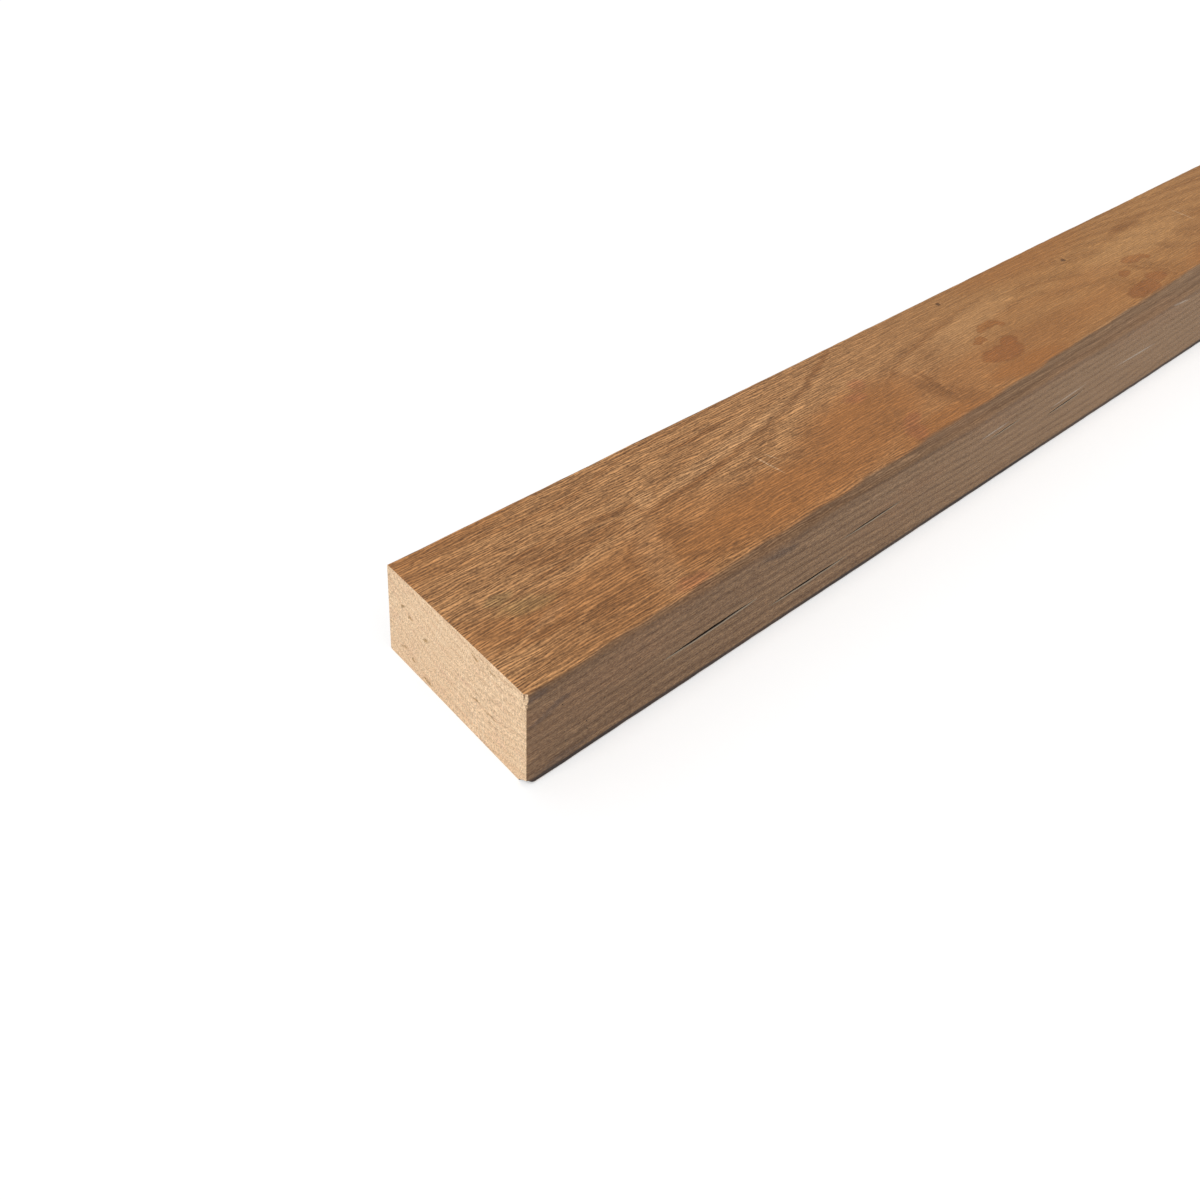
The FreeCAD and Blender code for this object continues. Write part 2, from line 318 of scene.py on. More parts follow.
class Field:
    """A node socket written as a value: arithmetic on it adds Math nodes to its tree."""

    def __init__(self, tree, socket=None):
        self.tree = tree
        self.socket = socket

    def node(self, kind, settings=None, values=None, out=0):
        """Adds any node: its settings come first, then its sockets' values or links."""
        node = self.tree.nodes.new(kind)
        for name, value in (settings or {}).items():
            setattr(node, name, value)
        for key, value in (values or {}).items():
            for each in value if isinstance(value, list) else [value]:
                if isinstance(each, Field):
                    self.tree.links.new(each.socket, node.inputs[key])
                else:
                    node.inputs[key].default_value = each
        return Field(self.tree, None if out is None else node.outputs[out])

    def whole(self, values):
        """One colour all over, as the start of a mix."""
        node = self.tree.nodes.new("ShaderNodeRGB")
        node.outputs[0].default_value = values
        return Field(self.tree, node.outputs[0])

    def math(self, operation, *values):
        return self.node("ShaderNodeMath", {"operation": operation}, dict(enumerate(values)))

    def __add__(self, other):
        return self.math("ADD", self, other)

    def __radd__(self, other):
        return self.math("ADD", other, self)

    def __sub__(self, other):
        return self.math("SUBTRACT", self, other)

    def __rsub__(self, other):
        return self.math("SUBTRACT", other, self)

    def __mul__(self, other):
        return self.math("MULTIPLY", self, other)

    def __rmul__(self, other):
        return self.math("MULTIPLY", other, self)

    def __truediv__(self, other):
        return self.math("DIVIDE", self, other)

    def __abs__(self):
        return self.math("ABSOLUTE", self)

    def __neg__(self):
        return self.math("MULTIPLY", self, -1.0)

    def math_of(self, operation):
        """Math of one value, such as its sine or its fraction."""
        return self.math(operation, self)

    def above(self, other):
        return self.math("GREATER_THAN", self, other)

    def most(self, other):
        return self.math("MAXIMUM", self, other)

    def vector(self, operation, *values, out=0):
        """Vector Math, for places, directions and colours."""
        values = dict(enumerate((self,) + values))
        return self.node("ShaderNodeVectorMath", {"operation": operation}, values, out)

    def scaled(self, share):
        """This vector or colour times a number."""
        return self.node("ShaderNodeVectorMath", {"operation": "SCALE"},
                         {"Vector": self, "Scale": share})

    def parts(self):
        """The three numbers of a vector."""
        split = self.node("ShaderNodeSeparateXYZ", values={0: self})
        return [Field(self.tree, socket) for socket in split.socket.node.outputs]

    def eased(self, low, high):
        """0 below low and 1 above high, with a soft step between."""
        return self.node(
            "ShaderNodeMapRange", {"interpolation_type": "SMOOTHSTEP"},
            {"Value": self, "From Min": low, "From Max": high})

    def mixed(self, other, share, blend="MIX"):
        """This colour passing to another by a share from 0 to 1."""
        settings = {"data_type": "RGBA", "blend_type": blend}
        return self.node("ShaderNodeMix", settings, {0: share, 6: self, 7: other}, out=2)

    def noise(self, size, detail=2.0, rough=0.5, shift=0.0, out=0):
        """Noise over a place, in blotches of about this size along x, y and z."""
        spread = tuple(1.0 / each for each in size)
        where = self.vector("MULTIPLY_ADD", spread, (shift, 1.7 * shift, -shift))
        values = {"Vector": where, "Scale": 1.0, "Detail": detail, "Roughness": rough}
        return self.node("ShaderNodeTexNoise", values=values, out=out)

    def shake(self, size, reach, detail=2.0):
        """A random vector at each place, within half this reach either way on each axis."""
        values = self.noise(size, detail=detail, out="Color")
        return values.vector("SUBTRACT", (0.5, 0.5, 0.5)).vector("MULTIPLY", reach)

    def line_noise(self, size):
        """Noise along one number, changing over about this much of it."""
        settings = {"noise_dimensions": "1D"}
        return self.node("ShaderNodeTexNoise", settings, {"W": self, "Scale": 1.0 / size})

    def white_noise(self):
        """A number from 0 to 1 picked at random for each whole number."""
        return self.node("ShaderNodeTexWhiteNoise", {"noise_dimensions": "1D"}, {"W": self})

    def blot(self, mark, soft, across="xy"):
        """Soft oval on a face: middle, half sizes and turn, in the units of the place."""
        a, b, long, wide, turn = mark
        c, d = math.cos(math.radians(turn)), math.sin(math.radians(turn))
        reach = 0.0
        for p, q, size in ((c, d, long), (-d, c, wide)):
            axis = [0.0, 0.0, 0.0]
            axis["xyz".index(across[0])] = p / size
            axis["xyz".index(across[1])] = q / size
            along = self.vector("DOT_PRODUCT", tuple(axis), out="Value")
            along = along - (a * p + b * q) / size
            reach = along * along + reach
        return 1.0 - reach.eased((1.0 - soft) ** 2, (1.0 + soft) ** 2)

    def blots(self, marks, soft, across="xy"):
        """Several soft ovals as one mask."""
        mask = self.blot(marks[0], soft, across)
        for mark in marks[1:]:
            mask = mask.most(self.blot(mark, soft, across))
        return mask


def half_width(height):
    """Half width of the board at this height, in millimetres: its sides lean in."""
    return SIZE[1] / MM / 2 - height * math.tan(math.radians(SIDE_LEAN))


def worn_radius(x, mean):
    """Radius of the worn arris at x millimetres from the middle."""
    turn = 2 * np.pi * x / WEAR_WAVE
    wander = 0.62 * np.sin(turn) + 0.38 * np.sin(2.7 * turn + 1.0)
    return mean * (1 + 0.5 * wander)


def stations(board):
    """Shares of the length at which the section is drawn, with close ones at the ends."""
    edge = board.end_edge / board.length
    rounded = [edge * (1 - math.sin(math.radians(a))) for a in (90, 60, 30, 0)]
    count = int(board.length / board.station)
    inner = [edge + (1 - 2 * edge) * i / count for i in range(1, count)]
    return np.array(rounded + inner + [1 - share for share in reversed(rounded)])


def rounding_inset(share, board):
    """How far the section draws in at this share of the length, in millimetres."""
    from_end = min(share, 1 - share) * board.length / board.end_edge
    reach = max(0.0, 1.0 - from_end)
    return board.end_edge / MM * (1 - math.sqrt(1 - reach * reach))


def section(x, inset, board):
    """Points and outward normals around the board at x millimetres from the middle."""
    lean = math.radians(SIDE_LEAN)
    half, top = board.width / MM / 2, board.thickness / MM
    nibble = [NIBBLE * noise.noise(Vector((x / NIBBLE_LENGTH, 7.3 * i, 0))) for i in range(4)]
    mean = board.arris / MM
    radii = [mean + nibble[i] for i in range(4)]
    radii[3] = worn_radius(x, board.worn_arris / MM) + 1.5 * nibble[3]
    side = half * math.cos(lean)
    sweeps = ((180 - SIDE_LEAN, 270), (270, 360 + SIDE_LEAN),
              (SIDE_LEAN, 90), (90, 180 - SIDE_LEAN))
    points, normals = [], []
    for i, (start, stop) in enumerate(sweeps):
        z = radii[i] if i < 2 else top - radii[i]
        y = (side - radii[i] - math.sin(lean) * z) / math.cos(lean)
        y = y if i in (1, 2) else -y
        for step in range(ARRIS_STEPS):
            angle = math.radians(start + (stop - start) * step / (ARRIS_STEPS - 1))
            normal = np.array((math.cos(angle), math.sin(angle)))
            points.append(np.array((y, z)) + radii[i] * normal)
            normals.append(normal)
    ring, out = [], []
    for i in range(4):
        first, following = i * ARRIS_STEPS, (i + 1) * ARRIS_STEPS
        ring += points[first:following]
        out += normals[first:following]
        start, stop = points[following - 1], points[following % len(points)]
        count = FACE_STEPS[i % 2]
        for step in range(1, count):
            ring.append(start + (stop - start) * step / count)
            out.append(normals[following - 1])
    ring, out = np.array(ring), np.array(out)
    return ring - inset * out, out


def unevenness(x, y, z):
    """Slow wander of the sawn faces, from -1 to 1."""
    slow = noise.noise(Vector((x / 95, y / 40, z / 30)))
    quick = noise.noise(Vector((x / 31 + 9, y / 14, z / 12)))
    return slow + 0.45 * quick


def end_places(y, z, board):
    """Where the two slightly off-square end cuts lie at this point of the section."""
    length, half = board.length / MM, board.width / MM / 2
    plan, rise = (math.tan(math.radians(a)) for a in START_SKEW)
    start = -length / 2 + plan * (y + half) + rise * z
    plan, rise = (math.tan(math.radians(a)) for a in FAR_SKEW)
    far = length / 2 + plan * (y + half) + rise * (z - board.thickness / MM)
    return start, far


def sawn_blank(board):
    """Mesh of the whole board before its checks, holes and broken corners."""
    shares = stations(board)
    length = board.length / MM
    shell = bmesh.new()
    rings = []
    for share in shares:
        x = (share - 0.5) * length
        ring, out = section(x, rounding_inset(share, board), board)
        calm = min(1.0, min(share, 1 - share) * length / CALM)
        verts = []
        for (y, z), normal in zip(ring, out):
            start, far = end_places(y, z, board)
            here = start + share * (far - start)
            lift = calm * board.unevenness / MM * unevenness(here, y, z)
            if normal[1] < -FLAT:
                lift = min(0.0, lift)
            place = Vector((here, y + normal[0] * lift, z + normal[1] * lift))
            verts.append(shell.verts.new(place * MM))
        rings.append(verts)
    for one, two in zip(rings, rings[1:]):
        for i in range(len(one)):
            j = (i + 1) % len(one)
            shell.faces.new((one[i], one[j], two[j], two[i]))
    shell.faces.new(list(reversed(rings[0])))
    shell.faces.new(rings[-1])
    bmesh.ops.recalc_face_normals(shell, faces=shell.faces)
    mesh = bpy.data.meshes.new("oak_board_blank")
    shell.to_mesh(mesh)
    shell.free()
    return mesh


def marks_object(name, marks):
    """Loose points, each with the size and turn of one cut."""
    mesh = bpy.data.meshes.new(name)
    mesh.from_pydata([mark[0] for mark in marks], [], [])
    for i, label in enumerate(("size", "turn")):
        layer = mesh.attributes.new(label, "FLOAT_VECTOR", "POINT")
        layer.data.foreach_set("vector", [c for mark in marks for c in mark[i + 1]])
    marker = bpy.data.objects.new(name, mesh)
    bpy.context.scene.collection.objects.link(marker)
    return marker


def check_marks():
    """A point for each drying check, at the mouth of its cut just outside the wood."""
    marks = []
    for side, checks in ((-1, CHECKS_FRONT), (1, CHECKS_BACK)):
        for share_x, share_z, long, opening, depth, slope in checks:
            height = share_z * SIZE[2] / MM
            x = (share_x - 0.5) * SIZE[0] / MM + long / 2
            growth = 1 + (1 - CHECK_ROOT) * CLEAR / depth
            place = Vector((x, side * (half_width(height) + CLEAR), height)) * MM
            size = (CHECK_TIPS * growth * long / 2 * MM, growth * opening / 2 * MM,
                    (depth + CLEAR) * MM)
            slope = math.radians(slope)
            turn = (-math.pi / 2, side * slope, math.pi if side > 0 else 0.0)
            marks.append((place, size, turn))
    return marks_object("check_marks", marks)


def pin_marks():
    """A point for each pin hole."""
    marks = []
    for along, height, radius in PIN_HOLES:
        x = along - SIZE[0] / MM / 2
        place = Vector((x, -half_width(height) - CLEAR, height)) * MM
        size = (radius * MM, radius * MM, (PIN_DEPTH + CLEAR) * MM)
        marks.append((place, size, (-math.pi / 2, 0, 0)))
    return marks_object("pin_marks", marks)


def corner_marks():
    """A point for each knocked-off corner, turned so the cut faces out of the wood."""
    marks = []
    half, top = SIZE[1] / MM / 2, SIZE[2] / MM
    corners = (
        (Vector((-SIZE[0] / MM / 2, -half_width(top), top)), (1, 1, -1), TOP_NICK),
        (Vector((-SIZE[0] / MM / 2, -half, 0)), (1, 1, 1), FOOT_CHIP),
    )
    for corner, inward, reach in corners:
        tips = [corner + Vector([inward[i] * reach[i] if i == k else 0 for i in range(3)])
                for k in range(3)]
        out = (tips[1] - tips[0]).cross(tips[2] - tips[0]).normalized()
        if out.dot(corner - tips[0]) < 0:
            out = -out
        middle = sum(tips, Vector()) / 3
        size = 2.6 * max(reach) * MM
        turn = out.to_track_quat("Z", "Y").to_euler()
        marks.append((middle * MM, (size, size, size), tuple(turn)))
    return marks_object("corner_marks", marks)


def cuts_tree():
    """Geometry Nodes that cut checks, pin holes and broken corners out of a board."""
    tree = bpy.data.node_groups.new("oak_board_cuts", "GeometryNodeTree")
    face = tree.interface
    face.new_socket("Board", in_out="INPUT", socket_type="NodeSocketGeometry")
    for name in ("Checks", "Pin Holes", "Corners"):
        face.new_socket(name, in_out="INPUT", socket_type="NodeSocketObject")
    wander = face.new_socket("Check Wander", in_out="INPUT", socket_type="NodeSocketFloat")
    wander.subtype = "DISTANCE"
    face.new_socket("Wood", in_out="INPUT", socket_type="NodeSocketMaterial")
    face.new_socket("Board", in_out="OUTPUT", socket_type="NodeSocketGeometry")
    g = Field(tree)
    enter = tree.nodes.new("NodeGroupInput")
    given = {socket.name: Field(tree, socket) for socket in enter.outputs}

    def placed(marks, cutter):
        """One cutter at each mark, by its size and turn."""
        points = g.node("GeometryNodeObjectInfo", values={"Object": marks}, out="Geometry")
        vector = {"data_type": "FLOAT_VECTOR"}
        size = g.node("GeometryNodeInputNamedAttribute", vector, {"Name": "size"})
        turn = g.node("GeometryNodeInputNamedAttribute", vector, {"Name": "turn"})
        turn = g.node("FunctionNodeEulerToRotation", values={0: turn})
        values = {"Points": points, "Instance": cutter, "Rotation": turn, "Scale": size}
        copies = g.node("GeometryNodeInstanceOnPoints", values=values)
        return g.node("GeometryNodeRealizeInstances", values={0: copies})

    place = g.node("GeometryNodeInputPosition")

    # A check: a tapering pointed slit whose lower lip is torn a little wider at the mouth.
    cone = {"Vertices": 28, "Side Segments": 7, "Radius Top": CHECK_ROOT,
            "Radius Bottom": 1.0, "Depth": 1.0}
    slit = g.node("GeometryNodeMeshCone", {"fill_type": "NGON"}, cone)
    x, y, z = place.parts()
    pointed = y * abs(y).math_of("SQRT") / (1.0 - z * (1 - CHECK_ROOT))
    tear, reach, fade = 0.8, 0.30, 0.16
    lip = 1.0 + tear * y.above(0.0) * (reach - z).most(0.0) / fade
    shaped = g.node("ShaderNodeCombineXYZ", values={0: x, 1: pointed * lip, 2: z})
    slit = g.node("GeometryNodeSetPosition", values={"Geometry": slit, "Position": shaped})
    slits = placed(given["Checks"], slit)
    stray = place.noise((0.013, 0.05, 0.05), detail=2.0) - 0.5
    spread = 2.5  # Noise seldom leaves its middle by more than a fifth.
    stray = g.node("ShaderNodeCombineXYZ", values={2: stray * given["Check Wander"] * spread})
    slits = g.node("GeometryNodeSetPosition", values={"Geometry": slits, "Offset": stray})

    # A pin hole: a short round bore.
    bore = {"Vertices": 9, "Side Segments": 1, "Radius Top": 0.8, "Radius Bottom": 1.0,
            "Depth": 1.0}
    bore = g.node("GeometryNodeMeshCone", {"fill_type": "NGON"}, bore)
    bores = placed(given["Pin Holes"], bore)

    # A broken corner: a block whose underside is rough, standing on the break.
    block = {"Size": (1, 1, 1), "Vertices X": 30, "Vertices Y": 30, "Vertices Z": 2}
    block = g.node("GeometryNodeMeshCube", values=block)
    block = g.node("GeometryNodeTransform", values={"Geometry": block,
                                                    "Translation": (0, 0, 0.5)})
    blocks = placed(given["Corners"], block)
    rough = place.shake((0.006, 0.0012, 0.0012), (0.0016, 0.0016, 0.0016), detail=3.0)
    blocks = g.node("GeometryNodeSetPosition", values={"Geometry": blocks, "Offset": rough})

    cutters = g.node("GeometryNodeJoinGeometry", values={0: [slits, bores, blocks]})
    inner = {"data_type": "FLOAT", "domain": "FACE"}
    values = {"Geometry": cutters, "Name": "cut", "Value": 1.0}
    cutters = g.node("GeometryNodeStoreNamedAttribute", inner, values)
    values = {"Geometry": given["Board"], "Name": "cut", "Value": 0.0}
    whole = g.node("GeometryNodeStoreNamedAttribute", inner, values)
    settings = {"operation": "DIFFERENCE", "solver": "EXACT"}
    cut = g.node("GeometryNodeMeshBoolean", settings, {"Mesh 1": whole, "Mesh 2": cutters})
    cut = g.node("GeometryNodeRealizeInstances", values={0: cut})
    values = {"Geometry": cut, "Material": given["Wood"]}
    cut = g.node("GeometryNodeSetMaterial", values=values)
    leave = tree.nodes.new("NodeGroupOutput")
    tree.links.new(cut.socket, leave.inputs[0])
    return tree


def set_inputs(modifier, values):
    """Sets a modifier's inputs by their sockets' identifiers."""
    for item in modifier.node_group.interface.items_tree:
        if item.in_out == "INPUT" and item.name in values:
            modifier[item.identifier] = values[item.name]


def bake_place(p, face, is_cut, board):
    """Strip, place along the map and place up the strip for one corner of a face."""
    n = face.normal
    wide, top = board.width / 2, board.thickness
    along = STRIP_GAP + (1 - 2 * STRIP_GAP) * (p.x / board.length + 0.5)
    if is_cut and face.center.x < -board.length / 2 + CORNER_REACH:
        # The two broken corners lie one above the other, the top one below.
        lifted = p.z > top / 2
        up = 0.05 + CORNER_SCALE * (p.z - CORNER_TOP) if lifted else 0.5 + CORNER_SCALE * p.z
        return "ends", CORNERS + 0.5 * (p.y + wide), min(1.0, max(0.0, up))
    if is_cut:
        level = (0 if n.z > 0 else 0.25) + (0 if face.center.y < 0 else 0.5)
        return "cuts", along, level + 0.22 * min(1.0, max(0.0, (wide - abs(p.y)) / CUT_DEPTH))
    if abs(n.x) > SQUARE:
        span = END_SPAN * (p.y + wide) / (2 * wide)
        return "ends", (STRIP_GAP if n.x < 0 else FAR_END) + span, p.z / top
    if abs(n.z) > FLAT:
        return ("top" if n.z > 0 else "under"), along, (p.y + wide) / (2 * wide)
    return ("front" if n.y < 0 else "back"), along, p.z / top


def bake_places(mesh, board):
    """A map for baking: each long face is one full-width strip, the ends are blocks."""
    inner = mesh.attributes["cut"].data
    layer = mesh.uv_layers.new(name="OFBake")
    mesh.uv_layers.active = layer
    layer.active_render = True
    for face in mesh.polygons:
        is_cut = inner[face.index].value > 0.5
        for loop in face.loop_indices:
            p = mesh.vertices[mesh.loops[loop].vertex_index].co
            strip, along, up = bake_place(p, face, is_cut, board)
            low, high = STRIPS[strip]
            layer.data[loop].uv = (along, low + high * up)


def finished_mesh(maker, name):
    """The maker's evaluated result as a plain mesh, shaded smooth except at hard edges."""
    graph = bpy.context.evaluated_depsgraph_get()
    mesh = bpy.data.meshes.new_from_object(maker.evaluated_get(graph), depsgraph=graph)
    mesh.name = name
    clean = bmesh.new()
    clean.from_mesh(mesh)
    bmesh.ops.remove_doubles(clean, verts=clean.verts, dist=1e-7)
    loose = [edge for edge in clean.edges if len(edge.link_faces) != 2]
    clean.to_mesh(mesh)
    clean.free()
    if loose:
        raise RuntimeError(f"{name} has {len(loose)} edges that aren't closed")
    mesh.shade_smooth()
    mesh.set_sharp_from_angle(angle=math.radians(38))
    return mesh


def colour(values):
    """A colour property as four numbers for a socket."""
    return (values[0], values[1], values[2], 1.0)


def wood_frame(g):
    """Places on the board in millimetres and, from 0 to 1, which kind of face this is."""
    metres = g.node("ShaderNodeTexCoord", out="Object")
    place = metres.vector("MULTIPLY", (1000, 1000, 1000))
    x, y, z = place.parts()
    facing = g.node("ShaderNodeNewGeometry", out="Normal")
    nx, ny, nz = facing.parts()
    cut = g.node("ShaderNodeAttribute", {"attribute_name": "cut"}, out="Fac")
    return SimpleNamespace(
        g=g, place=place, x=x, y=y, z=z, ny=ny, cut=cut,
        wide=abs(nz).eased(0.60, 0.80), end=abs(nx).eased(0.62, 0.80),
        above=nz.eased(0.3, 0.6), near=(-x).eased(-50, 50), front=(-ny).eased(0.3, 0.6))


def add_rings(w, oak):
    """Growth rings: distance from a pith line that bends, strayed by slow and quick noise."""
    w.strayed = w.place.vector("ADD", w.place.shake((170, 46, 46), (0, 9, 9)))
    pith = (0, oak.pith_side / MM, oak.pith_height / MM)
    w.spoke = w.strayed.vector("SUBTRACT", pith).vector("MULTIPLY", (0, 1, 1))
    radius = w.spoke.vector("LENGTH", out="Value")
    swing = ((w.x - BEND_START) * (math.pi / BEND_SPAN)).math_of("SINE")
    inland = 0.3 + 0.7 * (50.0 - abs(w.y)).eased(1, 20)
    radius = radius - swing * swing * inland * (oak.sweep / MM)
    w.quick = w.place.noise((26, 7, 7), detail=2.0)
    radius = radius + (w.quick - 0.5) * 2.2
    w.rough_place = w.place.vector("ADD", w.place.shake((7, 5, 5), (9, 5, 5)))

    # The rings bend round a knot in an oval larger than the knot itself.
    bends = [(a, b, 2.2 * c, 2.6 * d, e) for a, b, c, d, e in KNOTS]
    w.radius = radius + w.rough_place.blots(bends, 0.75) * w.above * 3.2

    # Ring widths vary with the radius, and each ring has a tone of its own.
    count = w.radius / (oak.ring / MM)
    count = count + (w.radius.line_noise(13.0) - 0.5) * 0.9
    phase = count.math_of("FRACT")
    w.early = phase.eased(0.0, 0.07) * (1.0 - phase.eased(0.16, 0.58))
    w.late = phase.eased(0.62, 0.97)
    w.tone = count.math_of("FLOOR").white_noise()


def add_fibres(w, oak):
    """Fibres, fine lines and pores along the grain, and clouds of colour."""
    w.streak = w.strayed.noise((30, 1.4, 1.4), detail=3.0, rough=0.6)
    w.ribs = w.strayed.noise((9, 0.75, 0.75), detail=1.0, shift=40.0)
    sway = w.strayed.noise((22, 3.5, 3.5), detail=2.0, shift=55.0)
    turn = (w.y + w.z) * (2 * math.pi * MM / oak.striation) + sway * 18.0
    w.lines = turn.math_of("SINE") * w.ribs.eased(0.32, 0.60)
    w.grit = w.place.noise((1.5, 0.75, 0.75), detail=1.0, shift=70.0)
    fine = w.strayed.noise((9, 0.36, 0.36), detail=1.0, shift=80.0)
    long = w.strayed.noise((20, 0.8, 0.8), detail=1.0, shift=120.0)
    w.pores = fine.eased(0.58, 0.70) * (0.30 + 0.70 * w.early)
    w.rows = long.eased(0.55, 0.68) * (0.15 + 0.85 * w.early)
    w.cloud = w.place.noise((95, 26, 26), detail=3.0, shift=12.0)
    w.drift = w.place.noise((260, 60, 60), detail=2.0, shift=30.0)


def wide_tone(w, oak):
    """Colour of the wide faces, with the marks and stains of the top."""
    dark = 0.19 + 0.40 * (w.streak - 0.5) + 0.46 * w.late * (0.4 + 0.6 * w.tone)
    dark = dark + 0.20 * w.early + 0.55 * (w.cloud - 0.45) + 0.25 * (w.drift - 0.5)
    amber = w.rough_place.blots(ORANGE, 0.55) * w.above
    w.amber = amber.most(w.drift.eased(0.50, 0.66) * 0.55)
    dusky = w.rough_place.blots(DUSKY, 0.6) * w.above
    pale = w.rough_place.blots(PALE, 0.6) * w.above
    seams = w.rough_place.blots(SEAMS, 0.6) * w.above
    dark = dark + 0.34 * dusky + 0.45 * seams - 0.40 * pale
    plain = w.g.whole(colour(oak.tan)).mixed(colour(oak.brown), dark.eased(-0.1, 1.0))
    smooth = w.g.whole(colour(oak.amber)).mixed(colour(oak.brown), dark.eased(0.1, 1.3))
    face = plain.mixed(smooth, w.amber * 0.95)
    face = face.mixed(colour(oak.bleached), pale * 0.08)
    rusty = w.rough_place.blots(RUSTY, 0.7) * w.above
    face = face.mixed(colour(oak.rust), rusty * 0.45)
    olive = w.rough_place.blots(OLIVE, 0.6) * w.above
    face = face.mixed(colour(oak.moss), olive * 0.35)
    w.water = w.rough_place.blots(WATER, 0.22) * w.above
    rim = w.water * (1.0 - w.water) * 4.0
    face = face.mixed(colour(oak.dried), w.water, "MULTIPLY")
    face = face.mixed(colour(oak.tide), rim * 0.6, "MULTIPLY")
    face = face.mixed(colour(oak.haze), w.x.eased(-350, -80), "MULTIPLY")
    scratch = w.place.blots(SCRATCHES, 0.5) * w.above
    return face.mixed(colour(oak.scratch), scratch * 0.5)


def narrow_tone(w, oak):
    """Colour of the narrow faces, weathered grey-brown and darker under the top edge, with painted
    shade along the foot of the front face.
    """
    border = w.z.eased(44, 48.5)
    # The narrow faces grow darker towards the start end.
    darker_toward_start = (-w.x).eased(80, 640)
    lined = 0.30 * w.late + 0.50 * w.early + 0.7 * (w.streak - 0.5) + 0.4 * (w.cloud - 0.5)
    lined = lined + 0.55 * border + 0.65 * darker_toward_start - 0.10
    face = w.g.whole(colour(oak.taupe)).mixed(colour(oak.umber), lined.eased(-0.15, 1.25))
    face = face.mixed(colour(oak.ruddy), w.cloud.eased(0.52, 0.72) * 0.35)
    smudge = w.rough_place.blots(SMUDGES, 0.6, "xz") * w.front
    face = face.mixed(colour(oak.smudge), smudge * 0.5)
    graze = w.place.blots(GRAZES, 0.6, "xz") * w.front
    face = face.mixed(colour(oak.graze), graze * 0.6)
    # Painted shade along the foot of the front face, where the lower arris turns under.
    foot = (1.0 - w.z.eased(2.2, 3.8)) * (-w.ny).eased(0.1, 0.3)
    return face.mixed(colour(oak.foot_shade), foot * (0.45 + w.cloud))


def end_tone(w, oak):
    """Colour of the sawn ends, pale and fuzzy, with rays standing across the rings."""
    aside, up = w.spoke.parts()[1:]
    angle = w.g.node("ShaderNodeMath", {"operation": "ARCTAN2"}, {0: aside, 1: -up})
    fan = {0: angle * 150.0, 1: w.x / 26.0, 2: w.radius / 34.0}
    fan = w.g.node("ShaderNodeCombineXYZ", values=fan)
    ray = fan.noise((1, 1, 1), detail=1.0).eased(0.60, 0.70)
    w.fuzz = w.place.noise((3, 0.7, 0.7), detail=3.0, rough=0.7, shift=60.0)
    mottle = w.place.noise((40, 13, 2.2), detail=3.0, shift=90.0)
    porous = 0.45 * w.early + 2.2 * (w.fuzz - 0.5) + 2.6 * (mottle - 0.5)
    porous = porous.eased(-0.5, 1.0)
    face = w.g.whole(colour(oak.cream)).mixed(colour(oak.straw), porous * 0.75)
    face = face.mixed(colour(oak.blush), mottle.eased(0.45, 0.75) * 0.35)
    face = face.mixed(colour(oak.ray), ray * 0.35)
    nests = w.rough_place.blots(NESTS, 0.6, "yz") * w.near
    w.nests = nests * w.fuzz.eased(0.30, 0.55)
    face = face.mixed(colour(oak.nest), w.nests * 0.75)
    return face.scaled(0.30 + 1.4 * w.grit)


def joined_tones(w, wide, narrow):
    """The long faces as one: weathering spreads over the worn arris to a margin of the top, where
    it is darkened as painted shade so that it looks like the less lit narrow faces.
    """
    margin = MARGIN_TAPER * abs(w.x) - MARGIN + (w.z - SIZE[2] / MM) + (w.y + SIZE[1] / MM / 2)
    margin = margin + 5.0 * (w.quick - 0.5)
    kept = 1.0 - w.above * (1.0 - margin.eased(-1.6, 1.2))
    # Painted shade: the narrow faces' colour is darkened where it lies on the top, which gets more
    # light.
    return narrow.scaled(1.0 - 0.15 * w.wide).mixed(wide, w.wide * kept)


def grooved(w, wood, oak):
    """The long faces with their pores sunk and the grooves between the fibres drawn: partly the
    fibres' own colour, partly painted shade in the grooves and painted highlights on the ridges.
    """
    coarse = 0.4 + 0.6 * (-w.x).eased(180, 420)
    sunk = (w.pores * 0.34).most(w.rows * 0.40) * (1.0 - 0.45 * w.amber) * coarse
    wood = wood.mixed(colour(oak.pore), sunk)
    fibre_tone_and_shading = (0.25 + 0.45 * w.wide) * w.lines + 0.8 * (w.ribs - 0.5)
    fibre_tone_and_shading = fibre_tone_and_shading + (2.3 - 0.8 * w.wide) * (w.grit - 0.5)
    fibre_tone_and_shading = fibre_tone_and_shading * coarse
    fibre_tone_and_shading = fibre_tone_and_shading * (0.7 + 0.3 * w.wide) * (1.0 - 0.4 * w.amber)
    # Painted shade in the grooves between the fibres, partly their own darker colour.
    wood = wood.mixed(colour(oak.groove_tone_and_shade), (-fibre_tone_and_shading).most(0.0) * 1.25)
    # Painted highlight on the fibre ridges.
    return wood.scaled(1.0 + fibre_tone_and_shading.most(0.0) * 1.05)


